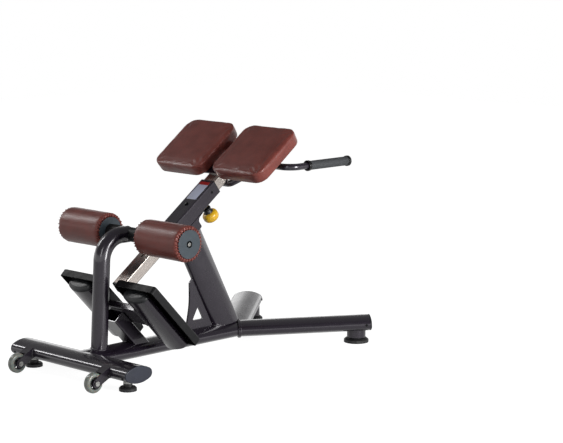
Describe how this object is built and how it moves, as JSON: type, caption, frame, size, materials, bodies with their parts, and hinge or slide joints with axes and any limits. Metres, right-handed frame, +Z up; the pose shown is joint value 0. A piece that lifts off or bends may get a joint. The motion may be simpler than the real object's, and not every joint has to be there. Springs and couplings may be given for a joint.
{
  "type": "roman chair",
  "caption": "Back-extension bench at 45 degrees: splayed oval-tube base, leaning column, sliding pair of thigh pads with handles, ankle rollers, tilted foot plates and transport wheels.",
  "frame": {"origin": "middle of the bottom of the bounding box, on the floor between the feet", "axes": "+X is the way the user faces, +Y is the user's left, +Z is up"},
  "size_m": [1.3364, 0.7618, 0.8402],
  "materials": {
    "frame_enamel": "gloss powder coat, purple-black metallic",
    "tray_enamel": "satin black powder coat",
    "slide_chrome": "satin chrome plate",
    "cap_plastic": "moulded, fine grain",
    "bushing_nylon": "moulded nylon",
    "zinc_steel": "zinc plated",
    "leather": "red-brown upholstery leather, satin",
    "plywood": "sanded plywood",
    "hub_plastic": "moulded, slate grey",
    "mat_rubber": "ribbed tread",
    "foot_rubber": "moulded, matt",
    "grip_rubber": "textured grip rubber",
    "tyre_urethane": "grey polyurethane",
    "wheel_plastic": "moulded",
    "knob_yellow": "moulded, glossy"
  },
  "bodies": {
    "frame": {"column": "frame_enamel", "column_gusset": "frame_enamel", "foot_mat_left": "mat_rubber", "foot_mat_right": "mat_rubber", "foot_nuts": "zinc_steel", "foot_plate_crossbar": "frame_enamel", "foot_plate_left": "tray_enamel", "foot_plate_prop": "frame_enamel", "foot_plate_right": "tray_enamel", "foot_stubs": "frame_enamel", "front_caps": "cap_plastic", "front_leg_left": "frame_enamel", "front_leg_right": "frame_enamel", "leg_joint_plate": "frame_enamel", "main_beam": "frame_enamel", "plate_screws": "zinc_steel", "plate_support_left": "frame_enamel", "plate_support_right": "frame_enamel", "plunger_barrel": "zinc_steel", "rear_caps": "cap_plastic", "rear_cross_tube": "frame_enamel", "retaining_screws": "zinc_steel", "roller_axle": "zinc_steel", "roller_bolts": "zinc_steel", "roller_cross_pipe": "frame_enamel", "roller_post": "frame_enamel", "sleeve": "frame_enamel", "sleeve_cheeks": "frame_enamel", "slide_bushings": "bushing_nylon", "stop_screw": "zinc_steel", "support_caps": "cap_plastic", "wheel_bolts": "zinc_steel", "wheel_fork_left": "frame_enamel", "wheel_fork_right": "frame_enamel"},
    "pad_carriage": {"slide_tube": "slide_chrome", "slide_end_cap": "cap_plastic", "pad_bracket_lower": "frame_enamel", "pad_bracket_upper": "frame_enamel", "pad_boards": "plywood", "pad_left": "leather", "pad_right": "leather", "pad_bolts": "zinc_steel", "handle_bar": "frame_enamel", "grip_left": "grip_rubber", "grip_right": "grip_rubber"},
    "pop_pin": {"plunger_pin": "zinc_steel", "plunger_collar": "cap_plastic", "plunger_knob": "knob_yellow"},
    "roller_left": {"roller_hub_left": "hub_plastic", "roller_pad_left": "leather"},
    "roller_right": {"roller_hub_right": "hub_plastic", "roller_pad_right": "leather"},
    "wheel_left": {"wheel_tyre_left": "tyre_urethane", "wheel_hub_left": "wheel_plastic"},
    "wheel_right": {"wheel_tyre_right": "tyre_urethane", "wheel_hub_right": "wheel_plastic"},
    "foot_rear_left": {"rear_foot_left": "foot_rubber"},
    "foot_rear_right": {"rear_foot_right": "foot_rubber"},
    "foot_front_left": {"front_foot_left": "foot_rubber"},
    "foot_front_right": {"front_foot_right": "foot_rubber"}
  },
  "joints": [
    {"name": "pad_slide", "type": "slide", "parent": "frame", "child": "pad_carriage", "axis": [0.8049, 0, 0.5934], "range_m": [0, 0.275]},
    {"name": "pin_pull", "type": "slide", "parent": "frame", "child": "pop_pin", "axis": [0.5934, 0, -0.8049], "range_m": [0, 0.012], "stiffness_N_per_m": 1500, "springref_m": -0.01},
    {"name": "roller_spin_left", "type": "hinge", "parent": "frame", "child": "roller_left", "pos_m": [-0.2887, 0.211, 0.488], "axis": [0, 1, 0], "continuous": true},
    {"name": "roller_spin_right", "type": "hinge", "parent": "frame", "child": "roller_right", "pos_m": [-0.2887, -0.211, 0.488], "axis": [0, 1, 0], "continuous": true},
    {"name": "wheel_spin_left", "type": "hinge", "parent": "frame", "child": "wheel_left", "pos_m": [-0.6327, 0.212, 0.038], "axis": [0, 1, 0], "continuous": true},
    {"name": "wheel_spin_right", "type": "hinge", "parent": "frame", "child": "wheel_right", "pos_m": [-0.6327, -0.212, 0.038], "axis": [0, 1, 0], "continuous": true},
    {"name": "foot_screw_rear_left", "type": "slide", "parent": "frame", "child": "foot_rear_left", "axis": [0, 0, -1], "range_m": [0, 0.008]},
    {"name": "foot_screw_rear_right", "type": "slide", "parent": "frame", "child": "foot_rear_right", "axis": [0, 0, -1], "range_m": [0, 0.008]},
    {"name": "foot_screw_front_left", "type": "slide", "parent": "frame", "child": "foot_front_left", "axis": [0, 0, -1], "range_m": [0, 0.008]},
    {"name": "foot_screw_front_right", "type": "slide", "parent": "frame", "child": "foot_front_right", "axis": [0, 0, -1], "range_m": [0, 0.008]}
  ]
}
